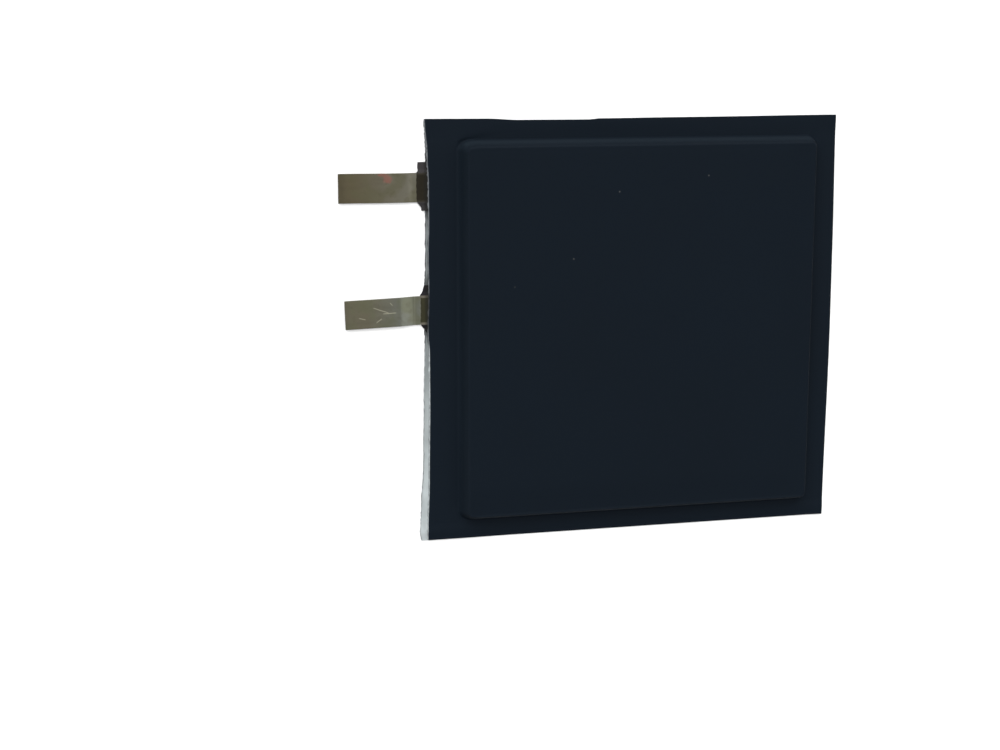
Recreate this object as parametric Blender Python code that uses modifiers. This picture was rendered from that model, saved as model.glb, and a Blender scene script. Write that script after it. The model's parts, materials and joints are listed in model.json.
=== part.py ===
"""A lithium pouch cell: a cup-formed front film, a flat back film, two tabs and a Z-folded electrode stack.

The cell lies on its back film. The origin is the centre of the pouch on the back face, +Z points out of the
cup, and both tabs point along -X. The positive tab is the one at the higher Y.
"""

import math

import bmesh
import bpy
from mathutils import Vector

MM = 0.001

# Driving dimensions: the pouch
POUCH_X = 75.0 * MM
POUCH_Y = 74.0 * MM
CELL_THICKNESS = 3.5 * MM
LAMINATE = 0.15 * MM
GAP = 0.02 * MM  # between layers that lie on each other

# Driving dimensions: the cup, as its outline on the flange and the width of each sloping wall
CUP_TAB_SIDE = -32.0 * MM
CUP_FAR_SIDE = 33.6 * MM
CUP_LOW_SIDE = -33.6 * MM
CUP_HIGH_SIDE = 33.6 * MM
WALL_TAB_SIDE = 1.1 * MM
WALL_FAR_SIDE = 1.1 * MM
WALL_LOW_SIDE = 1.1 * MM
WALL_HIGH_SIDE = 1.2 * MM
CUP_CORNER = 1.8 * MM
CUP_BROW = 0.45 * MM

# Driving dimensions: the tabs and their sealant strips
TAB_WIDTH = 5.0 * MM
TAB_THICKNESS = 0.1 * MM
TAB_REACH = 15.1 * MM  # from the pouch's nominal edge
TAB_ROOT_X = -27.9 * MM
POSITIVE_Y = 25.45 * MM
NEGATIVE_Y = 4.3 * MM
NEGATIVE_TURN = math.radians(1.8)
NEGATIVE_SHORTER = 0.75 * MM
POSITIVE_STEP = (-39.5 * MM, -41.0 * MM, 0.12 * MM)  # where the strip's slope starts and ends, and its rise
NEGATIVE_STEP = (-40.3 * MM, -42.3 * MM, 0.35 * MM)
STEP_SEGMENTS = 6
SEALANT_WIDTH = 8.0 * MM
SEALANT_THICKNESS = 0.08 * MM
SEALANT_ROOT_X = -30.7 * MM

# Driving dimensions: the electrode stack
CATHODES = 8
ANODES = CATHODES + 1
ELECTRODE = 0.115 * MM
SEPARATOR = 0.02 * MM
CLEARANCE = 0.015 * MM
STACK_BOTTOM = 0.24 * MM
ANODE_TAB_SIDE = -25.4 * MM
ANODE_FAR_SIDE = 29.9 * MM
ANODE_LOW_SIDE = -30.2 * MM
ANODE_HIGH_SIDE = 31.0 * MM
CATHODE_INSET = 0.5 * MM
SEPARATOR_OVERHANG = 0.6 * MM
TAIL_WIDTH = 4.4 * MM
TAIL_THICKNESS = 0.03 * MM
TAIL_PITCH = 0.045 * MM
TAIL_BEND_END = -28.3 * MM
TAIL_END = -30.2 * MM
TAIL_STEPS = 10
TAPE = 0.03 * MM
TAPE_CLEARANCE = 0.35 * MM
STACK_TAPE_WIDTH = 8.0 * MM
STACK_TAPE_LEG = 6.0 * MM
STACK_TAPE_X = (-13.0 * MM, 17.0 * MM)
SEPARATOR_END_Y = -20.0 * MM
END_TAPE_LENGTH = 39.0 * MM
END_TAPE_WIDTH = 7.0 * MM

# Worked out from the above
POUCH_EDGE = -POUCH_X / 2
FLANGE_LOW = LAMINATE + GAP
FLANGE_TOP = FLANGE_LOW + LAMINATE
BACK_SEALANT_LOW = LAMINATE + GAP
TAB_LOW = BACK_SEALANT_LOW + SEALANT_THICKNESS + GAP
FRONT_SEALANT_LOW = TAB_LOW + TAB_THICKNESS + GAP
HUMP_LOW = FRONT_SEALANT_LOW + SEALANT_THICKNESS + GAP
TAIL_LOW = TAB_LOW + TAB_THICKNESS + GAP
PITCH = ELECTRODE + SEPARATOR + 2 * CLEARANCE
ELECTRODE_LAYERS = CATHODES + ANODES
WRAP_Z = STACK_BOTTOM + SEPARATOR / 2
FIRST_PASS_Z = WRAP_Z + SEPARATOR + CLEARANCE
LAST_PASS_Z = FIRST_PASS_Z + ELECTRODE_LAYERS * PITCH
TAIL_BEND_START = ANODE_TAB_SIDE - SEPARATOR_OVERHANG - 0.1 * MM


def reset_scene():
    for obj in list(bpy.data.objects):
        bpy.data.objects.remove(obj, do_unlink=True)


def new_collection(name):
    collection = bpy.data.collections.new(name)
    bpy.context.scene.collection.children.link(collection)
    return collection


def new_material(name, colour, roughness, metallic):
    material = bpy.data.materials.new(name)
    material.use_nodes = True
    shader = material.node_tree.nodes["Principled BSDF"]
    shader.inputs["Base Color"].default_value = (*colour, 1.0)
    shader.inputs["Roughness"].default_value = roughness
    shader.inputs["Metallic"].default_value = metallic
    material.diffuse_color = (*colour, 1.0)
    return material


def add_object(name, data, collection, material=None):
    obj = bpy.data.objects.new(name, data)
    collection.objects.link(obj)
    if material:
        data.materials.append(material)
    return obj


def add_bmesh(name, mesh, collection, material=None):
    bmesh.ops.recalc_face_normals(mesh, faces=mesh.faces)
    data = bpy.data.meshes.new(name)
    mesh.to_mesh(data)
    mesh.free()
    return add_object(name, data, collection, material)


def add_flat_plate(name, outline, low, thickness, collection, material):
    """A flat plate from a closed outline of (x, y) points."""
    curve = bpy.data.curves.new(name, "CURVE")
    curve.dimensions = "2D"
    curve.fill_mode = "BOTH"
    curve.extrude = thickness / 2
    spline = curve.splines.new("POLY")
    spline.points.add(len(outline) - 1)
    for point, (x, y) in zip(spline.points, outline):
        point.co = (x, y, 0, 1)
    spline.use_cyclic_u = True
    obj = add_object(name, curve, collection, material)
    obj.location.z = low + thickness / 2
    return obj


def curve_to_mesh(obj):
    """The same object as a mesh with its caps welded on."""
    bpy.context.view_layer.update()
    evaluated = obj.evaluated_get(bpy.context.evaluated_depsgraph_get())
    data = bpy.data.meshes.new_from_object(evaluated)
    welded = bmesh.new()
    welded.from_mesh(data)
    bmesh.ops.remove_doubles(welded, verts=welded.verts, dist=0.001 * MM)
    welded.to_mesh(data)
    welded.free()
    name, collection, matrix = obj.name, obj.users_collection[0], obj.matrix_world.copy()
    bpy.data.objects.remove(obj, do_unlink=True)
    mesh_obj = add_object(name, data, collection)
    mesh_obj.matrix_world = matrix
    return mesh_obj


def add_box(name, low, high, collection, material):
    mesh = bmesh.new()
    bmesh.ops.create_cube(mesh, size=1)
    low, high = Vector(low), Vector(high)
    bmesh.ops.scale(mesh, verts=mesh.verts, vec=high - low)
    bmesh.ops.translate(mesh, verts=mesh.verts, vec=(high + low) / 2)
    return add_bmesh(name, mesh, collection, material)


def add_bent_strip(name, path, middle_x, width, thickness, collection, material):
    """A thin ribbon that follows (y, z) points and is `width` wide along X, centred on `middle_x`."""
    curve = bpy.data.curves.new(name, "CURVE")
    curve.dimensions = "3D"
    curve.extrude = width / 2
    spline = curve.splines.new("POLY")
    spline.points.add(len(path) - 1)
    for point, (y, z) in zip(spline.points, path):
        point.co = (y, z, 0, 1)
    obj = add_object(name, curve, collection, material)
    obj.rotation_euler = (math.pi / 2, 0, math.pi / 2)
    obj.location.x = middle_x
    solid = obj.modifiers.new("thickness", "SOLIDIFY")
    solid.thickness = thickness
    solid.offset = 0
    solid.use_even_offset = True
    return obj


def extrude_patch(mesh, patch, steps):
    """Pushes one face of a closed mesh along a list of (dx, dz) steps."""
    for dx, dz in steps:
        grown = bmesh.ops.extrude_face_region(mesh, geom=[patch])["geom"]
        bmesh.ops.delete(mesh, geom=[patch], context="FACES_ONLY")
        patch = next(item for item in grown if isinstance(item, bmesh.types.BMFace))
        bmesh.ops.translate(mesh, verts=patch.verts, vec=(dx, 0, dz))


def steps_between(points):
    return [(b[0] - a[0], b[1] - a[1]) for a, b in zip(points, points[1:])]


# The pouch films


def round_edges(mesh, edges, radius, segments):
    bmesh.ops.bevel(
        mesh, geom=edges, offset=radius, segments=segments, profile=0.5, affect="EDGES", clamp_overlap=True
    )


def tapered_block(low_x, high_x, low_y, high_y, bottom, top, slopes, corner, brow):
    """A block whose sides lean inwards by `slopes` (-x, +x, -y, +y), with rounded corners and top edge."""
    mesh = bmesh.new()
    bmesh.ops.create_cube(mesh, size=1)
    for vert in mesh.verts:
        raised = vert.co.z > 0
        x = low_x + slopes[0] * raised if vert.co.x < 0 else high_x - slopes[1] * raised
        y = low_y + slopes[2] * raised if vert.co.y < 0 else high_y - slopes[3] * raised
        vert.co = (x, y, top if raised else bottom)
    if corner:
        upright = [e for e in mesh.edges if abs(e.verts[0].co.z - e.verts[1].co.z) > (top - bottom) / 2]
        round_edges(mesh, upright, corner, 6)
    if brow:
        rim = [e for e in mesh.edges if min(e.verts[0].co.z, e.verts[1].co.z) > top - 0.001 * MM]
        round_edges(mesh, rim, brow, 3)
    return mesh


def cup_block(inset, bottom, corner, brow):
    """The cup's outer form, or its cavity when `inset` is the film's thickness."""
    slopes = (WALL_TAB_SIDE, WALL_FAR_SIDE, WALL_LOW_SIDE, WALL_HIGH_SIDE)
    rise = CELL_THICKNESS - FLANGE_TOP
    top = CELL_THICKNESS - inset
    inward = [inset * math.hypot(1, slope / rise) for slope in slopes]
    lean = [slope / rise for slope in slopes]
    drop = FLANGE_TOP - bottom  # the walls run on below the flange's top at the same lean
    edge = [inward[i] - lean[i] * drop for i in range(4)]
    total = [lean[i] * (top - bottom) for i in range(4)]
    return tapered_block(
        CUP_TAB_SIDE + edge[0],
        CUP_FAR_SIDE - edge[1],
        CUP_LOW_SIDE + edge[2],
        CUP_HIGH_SIDE - edge[3],
        bottom,
        top,
        total,
        corner,
        brow,
    )


def hump_block(middle_y, inset, bottom, outer_x):
    """The low hump in the flange over a tab and its sealant, or the channel under it."""
    side_slope = 0.3 * MM
    half = SEALANT_WIDTH / 2 + 0.15 * MM + LAMINATE - inset
    inner_x = CUP_TAB_SIDE + 0.9 * MM
    top = HUMP_LOW + LAMINATE - inset
    return tapered_block(
        outer_x,
        inner_x,
        middle_y - half - side_slope,
        middle_y + half + side_slope,
        bottom,
        top,
        (0, 0, side_slope, side_slope),
        0,
        0,
    )


def add_boolean(obj, operation, other):
    boolean = obj.modifiers.new(f"{operation.lower()} {other.name}", "BOOLEAN")
    boolean.operation = operation
    boolean.solver = "EXACT"
    boolean.object = other


def add_front_film(cell, cutters, material):
    half_x, half_y = POUCH_X / 2, POUCH_Y / 2
    outline = [
        (-half_x - 0.15 * MM, -half_y + 0.05 * MM),
        (half_x - 0.1 * MM, -half_y + 0.05 * MM),
        (half_x + 0.2 * MM, -5.0 * MM),
        (half_x - 0.1 * MM, half_y),
        (0, half_y - 0.2 * MM),
        (-7.4 * MM, half_y - 0.22 * MM),
        (-7.8 * MM, half_y - 0.38 * MM),
        (-20.0 * MM, half_y - 0.36 * MM),
        (-25.0 * MM, half_y - 0.14 * MM),
        (-half_x - 0.35 * MM, half_y),
        (-half_x + 0.2 * MM, 24.0 * MM),
        (-half_x, 12.0 * MM),
        (-half_x + 0.28 * MM, -12.0 * MM),
        (-half_x + 0.2 * MM, -24.0 * MM),
    ]
    film = curve_to_mesh(add_flat_plate("front_film", outline, FLANGE_LOW, LAMINATE, cell, material))

    middle = (FLANGE_LOW + FLANGE_TOP) / 2
    below = LAMINATE / 2
    outside = POUCH_EDGE - 5 * MM
    hump_end = POUCH_EDGE + 0.3 * MM
    tools = [
        ("cup", "UNION", cup_block(0, middle, CUP_CORNER, CUP_BROW)),
        ("positive_hump", "UNION", hump_block(POSITIVE_Y, 0, middle, hump_end)),
        ("negative_hump", "UNION", hump_block(NEGATIVE_Y, 0, middle, hump_end)),
        ("cavity", "DIFFERENCE", cup_block(LAMINATE, below, CUP_CORNER - LAMINATE, CUP_BROW - LAMINATE)),
        ("positive_channel", "DIFFERENCE", hump_block(POSITIVE_Y, LAMINATE, below, outside)),
        ("negative_channel", "DIFFERENCE", hump_block(NEGATIVE_Y, LAMINATE, below, outside)),
    ]
    for name, operation, mesh in tools:
        cutter = add_bmesh(name, mesh, cutters)
        cutter.hide_render = True
        cutter.display_type = "WIRE"
        add_boolean(film, operation, cutter)


def add_back_film(cell, material):
    half_x, half_y = POUCH_X / 2, POUCH_Y / 2
    outline = [
        (-half_x - 1.55 * MM, -half_y + 0.3 * MM),
        (-half_x - 1.2 * MM, -half_y),
        (half_x - 0.1 * MM, -half_y),
        (half_x + 0.2 * MM, -5.0 * MM),
        (half_x - 0.1 * MM, half_y),
        (-half_x - 0.6 * MM, half_y),
        (-half_x - 0.4 * MM, 20.0 * MM),
        (-half_x - 0.5 * MM, 9.0 * MM),
        (-half_x - 1.0 * MM, -17.0 * MM),
        (-half_x - 1.3 * MM, -29.0 * MM),
    ]
    add_flat_plate("back_film", outline, 0, LAMINATE, cell, material)


# The tabs and their sealant


def add_tab(name, middle_y, outer_path, cell, material):
    """A strip from the welds out to its end; `outer_path` holds (x, lift) points beyond the root."""
    path = [(TAB_ROOT_X, 0), *outer_path]
    mesh = bmesh.new()
    bmesh.ops.create_cube(mesh, size=1)
    first = path[1][0]
    bmesh.ops.scale(mesh, verts=mesh.verts, vec=(TAB_ROOT_X - first, TAB_WIDTH, TAB_THICKNESS))
    centre = ((TAB_ROOT_X + first) / 2, 0, TAB_LOW + TAB_THICKNESS / 2)
    bmesh.ops.translate(mesh, verts=mesh.verts, vec=centre)
    end = min(mesh.faces, key=lambda face: face.calc_center_median().x)
    extrude_patch(mesh, end, steps_between(path[1:]))
    tab = add_bmesh(name, mesh, cell, material)
    tab.location.y = middle_y
    return tab


def stepped_path(step, tip):
    """The strip's (x, lift) points past its root: level, up a soft slope, then level again to its tip."""
    start, end, height = step
    shares = [i / STEP_SEGMENTS for i in range(STEP_SEGMENTS + 1)]
    return [*((start + (end - start) * share, height * smooth(share)) for share in shares), (tip, height)]


def add_tabs(cell, positive, negative):
    tip = POUCH_EDGE - TAB_REACH
    add_tab("positive_tab", POSITIVE_Y, stepped_path(POSITIVE_STEP, tip), cell, positive)
    tab = add_tab("negative_tab", 0, stepped_path(NEGATIVE_STEP, tip + NEGATIVE_SHORTER), cell, negative)
    # the tab leaves the pouch a little askew: it is turned about the point where it crosses the edge
    turn_about_edge(tab, NEGATIVE_Y, NEGATIVE_TURN)


def turn_about_edge(obj, middle_y, angle):
    """Turns an object modelled on the X axis about the point (POUCH_EDGE, middle_y)."""
    obj.rotation_euler.z = angle
    obj.location.x = POUCH_EDGE * (1 - math.cos(angle))
    obj.location.y = middle_y - POUCH_EDGE * math.sin(angle)


def smooth(t):
    return t * t * (3 - 2 * t)


def add_sealants(cell, material):
    """Two strips for each tab, one under it and one over it, each in the outline that its pair shares."""
    half_tab, half = TAB_WIDTH / 2, SEALANT_WIDTH / 2
    root = SEALANT_ROOT_X
    positive = [
        (root, -half),
        (POUCH_EDGE - 0.9 * MM, -half),
        (POUCH_EDGE - 1.0 * MM, -half + 0.6 * MM),
        (POUCH_EDGE - 1.5 * MM, -half_tab),
        (POUCH_EDGE - 1.6 * MM, half_tab),
        (POUCH_EDGE - 1.45 * MM, half_tab + 0.35 * MM),
        (POUCH_EDGE - 1.5 * MM, half),
        (root, half),
    ]
    negative = [
        (root, -half),
        (POUCH_EDGE - 0.1 * MM, -half),
        (POUCH_EDGE - 1.35 * MM, -half_tab),
        (POUCH_EDGE - 1.35 * MM, half_tab),
        (POUCH_EDGE - 0.75 * MM, half - 0.65 * MM),
        (POUCH_EDGE - 0.6 * MM, half),
        (root, half),
    ]
    for tab, outline, middle_y in (("positive", positive, POSITIVE_Y), ("negative", negative, NEGATIVE_Y)):
        moved = [(x, y + middle_y) for x, y in outline]
        for side, low in (("back", BACK_SEALANT_LOW), ("front", FRONT_SEALANT_LOW)):
            add_flat_plate(f"{tab}_sealant_{side}", moved, low, SEALANT_THICKNESS, cell, material)


# The electrode stack


def tail_path(start_x, start_z, weld_z):
    """The foil tail's centre line: straight past the separator, then an S-bend to its place in the weld."""
    run, rise = TAIL_BEND_END - TAIL_BEND_START, weld_z - start_z
    bend = [
        (TAIL_BEND_START + run * i / TAIL_STEPS, start_z + rise * smooth(i / TAIL_STEPS))
        for i in range(TAIL_STEPS + 1)
    ]
    return [(start_x, start_z), *bend, (TAIL_END, weld_z)]


def add_electrode(name, inset, low, tail_y, weld_z, cell, material):
    """A coated sheet with its bare foil tail drawn out of the middle of its tab-side edge."""
    mesh = bmesh.new()
    bmesh.ops.create_cube(mesh, size=1)
    left, right = ANODE_TAB_SIDE + inset, ANODE_FAR_SIDE - inset
    near, far = ANODE_LOW_SIDE + inset, ANODE_HIGH_SIDE - inset
    middle_z = low + ELECTRODE / 2
    bmesh.ops.scale(mesh, verts=mesh.verts, vec=(right - left, far - near, ELECTRODE))
    centre = ((left + right) / 2, (near + far) / 2, middle_z)
    bmesh.ops.translate(mesh, verts=mesh.verts, vec=centre)
    cuts = [((0, tail_y + side * TAIL_WIDTH / 2, 0), (0, 1, 0)) for side in (-1, 1)]
    cuts += [((0, 0, middle_z + side * TAIL_THICKNESS / 2), (0, 0, 1)) for side in (-1, 1)]
    for point, normal in cuts:
        everything = mesh.verts[:] + mesh.edges[:] + mesh.faces[:]
        bmesh.ops.bisect_plane(mesh, geom=everything, plane_co=point, plane_no=normal)
    target = Vector((left, tail_y, middle_z))
    patch = min(mesh.faces, key=lambda face: (face.calc_center_median() - target).length)
    extrude_patch(mesh, patch, steps_between(tail_path(left, middle_z, weld_z)))
    add_bmesh(name, mesh, cell, material)


def add_electrodes(cell, cathode, anode):
    """Anodes and cathodes by turns from the bottom up, with an anode at each end."""
    counts = {"anode": 0, "cathode": 0}
    for layer in range(ELECTRODE_LAYERS):
        kind = "anode" if layer % 2 == 0 else "cathode"
        low = FIRST_PASS_Z + SEPARATOR / 2 + CLEARANCE + layer * PITCH
        weld_z = TAIL_LOW + TAIL_THICKNESS / 2 + counts[kind] * TAIL_PITCH
        counts[kind] += 1
        name = f"{kind}_{counts[kind]}"
        if kind == "anode":
            add_electrode(name, 0, low, NEGATIVE_Y, weld_z, cell, anode)
        else:
            add_electrode(name, CATHODE_INSET, low, POSITIVE_Y, weld_z, cell, cathode)


def arc(centre_y, centre_z, radius, start, end, segments):
    """Points on an arc from angle `start` to `end`, in degrees from +Y towards +Z."""
    angles = [math.radians(start + (end - start) * i / segments) for i in range(segments + 1)]
    return [(centre_y + radius * math.cos(a), centre_z + radius * math.sin(a)) for a in angles]


def add_separator(cell, material):
    """A ribbon that zigzags up through the stack, then goes down round its +Y side and under it."""
    low_fold = ANODE_LOW_SIDE - SEPARATOR_OVERHANG
    high_fold = ANODE_HIGH_SIDE + SEPARATOR_OVERHANG
    bend = PITCH / 2
    path = [(high_fold - 1.0 * MM, FIRST_PASS_Z)]
    for layer in range(ELECTRODE_LAYERS):
        middle_z = FIRST_PASS_Z + (layer + 0.5) * PITCH
        if layer % 2 == 0:
            path += arc(low_fold, middle_z, bend, 270, 90, 4)
        else:
            path += arc(high_fold, middle_z, bend, -90, 90, 4)
    # the number of layers is odd, so the last pass runs towards +Y and the wrap goes on down that side
    corner = 0.25 * MM
    side_y = high_fold + bend + 0.2 * MM
    path += arc(side_y - corner, LAST_PASS_Z - corner, corner, 90, 0, 3)
    path += arc(side_y - corner, WRAP_Z + corner, corner, 0, -90, 3)
    path.append((SEPARATOR_END_Y, WRAP_Z))
    width = ANODE_FAR_SIDE - ANODE_TAB_SIDE + 2 * SEPARATOR_OVERHANG
    middle_x = (ANODE_FAR_SIDE + ANODE_TAB_SIDE) / 2
    add_bent_strip("separator", path, middle_x, width, SEPARATOR, cell, material)


# Tapes


def add_stack_tapes(cell, material):
    """Four U-shaped tapes over the long edges of the stack."""
    top = LAST_PASS_Z + SEPARATOR / 2 + CLEARANCE + TAPE / 2
    bottom = WRAP_Z - SEPARATOR / 2 - CLEARANCE - TAPE / 2
    reach = SEPARATOR_OVERHANG + PITCH / 2 + TAPE_CLEARANCE
    edges = ((ANODE_LOW_SIDE - reach, 1), (ANODE_HIGH_SIDE + reach, -1))
    number = 0
    for edge_y, inward in edges:
        for middle_x in STACK_TAPE_X:
            number += 1
            name = f"stack_tape_{number}"
            inner_y = edge_y + inward * STACK_TAPE_LEG
            path = [(inner_y, top), (edge_y, top), (edge_y, bottom), (inner_y, bottom)]
            add_bent_strip(name, path, middle_x, STACK_TAPE_WIDTH, TAPE, cell, material)


def add_separator_end_tape(cell, material):
    """A strip of tape along the ribbon's loose end, half on the ribbon's last turn and half past it."""
    top = WRAP_Z - SEPARATOR / 2 - CLEARANCE
    middle_x = (ANODE_FAR_SIDE + ANODE_TAB_SIDE) / 2
    low = (middle_x - END_TAPE_LENGTH / 2, SEPARATOR_END_Y - END_TAPE_WIDTH / 2, top - TAPE)
    high = (middle_x + END_TAPE_LENGTH / 2, SEPARATOR_END_Y + END_TAPE_WIDTH / 2, top)
    add_box("separator_end_tape", low, high, cell, material)


def add_weld_tapes(cell, material):
    """One tape over and one under each weld, a little wider than the tab."""
    half = TAB_WIDTH / 2 + 1.0 * MM
    for tab, middle_y, tails in (("positive", POSITIVE_Y, CATHODES), ("negative", NEGATIVE_Y, ANODES)):
        over = TAIL_LOW + (tails - 1) * TAIL_PITCH + TAIL_THICKNESS + GAP
        under = TAB_LOW - GAP - TAPE
        for side, low, inner_x in (("front", over, TAIL_BEND_END), ("back", under, TAB_ROOT_X + 0.8 * MM)):
            add_box(
                f"{tab}_weld_tape_{side}",
                (TAIL_END - 0.3 * MM, middle_y - half, low),
                (inner_x, middle_y + half, low + TAPE),
                cell,
                material,
            )


def main():
    reset_scene()
    cell = new_collection("pouch_cell")
    cutters = new_collection("cutters")

    laminate = new_material("black_laminate", (0.010, 0.014, 0.019), 0.45, 0.0)
    silver = new_material("laminate_inner_face", (0.46, 0.53, 0.54), 0.35, 0.6)
    aluminium = new_material("tab_aluminium", (0.20, 0.17, 0.11), 0.40, 1.0)
    nickel = new_material("tab_nickel", (0.21, 0.18, 0.12), 0.40, 1.0)
    sealant = new_material("sealant", (0.035, 0.032, 0.025), 0.40, 0.0)
    cathode = new_material("cathode_coating", (0.03, 0.03, 0.035), 0.80, 0.0)
    anode = new_material("anode_coating", (0.06, 0.06, 0.06), 0.70, 0.0)
    separator = new_material("separator", (0.85, 0.86, 0.85), 0.60, 0.0)
    green_tape = new_material("stack_tape", (0.05, 0.32, 0.12), 0.35, 0.0)
    amber_tape = new_material("weld_tape", (0.55, 0.24, 0.03), 0.25, 0.0)

    add_front_film(cell, cutters, laminate)
    add_back_film(cell, silver)
    add_tabs(cell, aluminium, nickel)
    add_sealants(cell, sealant)
    add_electrodes(cell, cathode, anode)
    add_separator(cell, separator)
    add_stack_tapes(cell, green_tape)
    add_separator_end_tape(cell, green_tape)
    add_weld_tapes(cell, amber_tape)


if __name__ == "__main__":
    main()
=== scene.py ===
"""The finished look of a lithium pouch cell: a formed black laminate pouch, two strip tabs and their sealant.

The cell lies on its back face, with +Z out of the cup and both tabs along -X.
"""

import json
import math

import bpy
import numpy as np
from bpy.props import FloatProperty, FloatVectorProperty, PointerProperty
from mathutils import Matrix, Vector


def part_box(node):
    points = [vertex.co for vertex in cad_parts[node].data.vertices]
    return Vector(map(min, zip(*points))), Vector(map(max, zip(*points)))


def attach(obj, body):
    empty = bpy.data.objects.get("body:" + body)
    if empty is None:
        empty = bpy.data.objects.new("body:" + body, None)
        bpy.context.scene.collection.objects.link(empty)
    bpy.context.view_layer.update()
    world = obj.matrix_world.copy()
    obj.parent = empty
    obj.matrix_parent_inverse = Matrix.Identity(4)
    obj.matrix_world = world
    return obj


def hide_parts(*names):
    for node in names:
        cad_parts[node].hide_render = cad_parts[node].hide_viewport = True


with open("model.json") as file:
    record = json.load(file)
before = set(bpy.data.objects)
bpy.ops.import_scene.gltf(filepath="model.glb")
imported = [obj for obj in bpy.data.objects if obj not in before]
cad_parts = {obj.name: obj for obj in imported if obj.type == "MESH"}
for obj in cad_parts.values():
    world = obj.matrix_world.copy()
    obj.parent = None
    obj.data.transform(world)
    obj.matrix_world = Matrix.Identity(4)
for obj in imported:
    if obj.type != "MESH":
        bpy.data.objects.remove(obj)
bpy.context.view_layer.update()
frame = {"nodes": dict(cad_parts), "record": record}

bl_info = {
    "name": "Pouch Cell Finish",
    "version": (1, 0, 0),
    "blender": (4, 5, 0),
    "location": "3D View > Sidebar > Pouch Cell",
    "description": "Builds the visible pieces, finishes and stage of a lithium pouch cell",
    "category": "Object",
}

MM = 0.001

# Planes and edges read from the frame
FILM_LOW, FILM_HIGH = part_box("front_film")
BACK_LOW, BACK_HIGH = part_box("back_film")
LAMINATE = BACK_HIGH.z - BACK_LOW.z
FLANGE_LOW = FILM_LOW.z
PLATEAU = FILM_HIGH.z
POUCH_HALF_X = 37.5 * MM
POUCH_HALF_Y = 37.0 * MM
POUCH_EDGE = -POUCH_HALF_X

# The cup, as left, right, low and high side: where its foot lies on the flange, how wide each wall is in
# plan, and how far, and over what width, the plateau falls towards it
CUP_FOOT = (-32.3 * MM, 33.9 * MM, -33.8 * MM, 33.5 * MM)
CUP_WALL = (1.7 * MM, 1.4 * MM, 1.3 * MM, 1.4 * MM)
SHOULDER_DROP = (0.03 * MM, 0.20 * MM, 0.17 * MM, 0.02 * MM)
SHOULDER_WIDTH = (1.6 * MM, 6.0 * MM, 5.5 * MM, 1.6 * MM)
# The films' cut edges on the tab side, as (place along Y, distance past the nominal edge) in mm
FRONT_CUT = (
    (-37, 0.1), (-25, -0.25), (-12, -0.4), (-3, -0.4), (0, -0.2), (7, -0.4),
    (14, -0.3), (19, -0.45), (26, -0.45), (31, -0.25), (37, 0.15),
)
BACK_CUT = (
    (-37, 1.2), (-36, 1.4), (-30, 1.15), (-24, 0.75), (-12, 0.55),
    (0, 0.3), (8, 0.25), (14, 0.1), (30, -0.05), (37, 0.1),
)
# How far the blade leaves each film's lower edge standing out past its upper one
FRONT_OVERHANG = 0.20 * MM
BACK_OVERHANG = 0.14 * MM
CORNER_ROUND = 1.5  # the plan radius of the cup's corners, in wall widths
SWELL_ROOM = 0.04 * MM  # keeps the plateau's bumps inside the cell's thickness
PUCKERS = 95  # waves of the fine wrinkles that the press leaves round the cup's corners
PUCKER_HEIGHT = 0.025 * MM
# Small bumps and dents in the plateau, as (x, y, radius, height) in mm
PLATEAU_DENTS = ((-28.5, 28.3, 1.1, 0.035), (9.0, -17.5, 2.2, -0.02), (20.0, -9.0, 2.0, 0.02))

# The tabs and their sealant strips
POSITIVE_Y = sum(corner.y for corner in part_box("positive_sealant_front")) / 2
NEGATIVE_Y = sum(corner.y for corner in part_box("negative_sealant_front")) / 2
TAB_LOW, TAB_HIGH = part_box("positive_tab")
TAB_WIDTH = TAB_HIGH.y - TAB_LOW.y
TAB_THICKNESS = 0.1 * MM  # the strip's own, less than its box because of the step
POSITIVE_SET = TAB_HIGH.z - TAB_LOW.z - TAB_THICKNESS  # the small step in the positive tab
POSITIVE_SET_START = -39.5 * MM
POSITIVE_SET_RUN = 1.5 * MM
BEND_ZONE = (-42.6 * MM, -39.6 * MM)  # where the tabs are cut across more finely
FACE_SLOT, SHEARED_SLOT = 0, 1  # the tabs' material slots: rolled faces and cut edges
SEALANT_LOW, SEALANT_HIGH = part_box("positive_sealant_front")
SEALANT_THICKNESS = SEALANT_HIGH.z - SEALANT_LOW.z
SEALANT_HALF = (SEALANT_HIGH.y - SEALANT_LOW.y) / 2
SEALANT_ROOT = SEALANT_HIGH.x
BACK_SEALANT_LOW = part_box("positive_sealant_back")[0].z
LAYER_GAP = 0.02 * MM  # between layers that lie on each other
EDGE_ROUND = 0.02 * MM  # the rounding of the tabs' and sealant's edges
# How far each sealant pair stands out past the pouch's nominal edge, by place across the tab, in mm
POSITIVE_OUTLINE = (
    (-4.0, 0.75), (-3.5, 0.85), (-2.7, 1.40), (-2.4, 1.62), (0.0, 1.68),
    (2.5, 1.62), (2.8, 1.42), (4.0, 1.45), (4.2, 1.52),
)
NEGATIVE_OUTLINE = (
    (-4.0, 0.02), (-2.9, 0.85), (-2.4, 1.15), (0.0, 1.08),
    (2.4, 1.12), (2.6, 1.2), (3.3, 0.7), (4.2, 0.45),
)

# Dust on the cup as (x, y, strength), and scratches on the lower tab as (start, end), with places in mm
DUST_SPECKS = ((-3.9, 24.3, 0.24), (12.4, 26.8, 0.18), (-12.1, 12.8, 0.2), (-22.6, 8.2, 0.08))
SCRATCHES = (
    ((-46.9, 5.0), (-44.3, 4.1)),
    ((-45.2, 3.95), (-43.0, 4.05)),
    ((-46.4, 2.4), (-45.5, 3.1)),
    ((-44.0, 5.8), (-43.6, 5.35)),
    ((-49.4, 3.3), (-48.3, 3.05)),
)

# Edges sharper than these angles, in degrees, stay crisp
FILM_CREASE = 40
TAB_CREASE = 20
SEALANT_CREASE = 25

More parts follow.
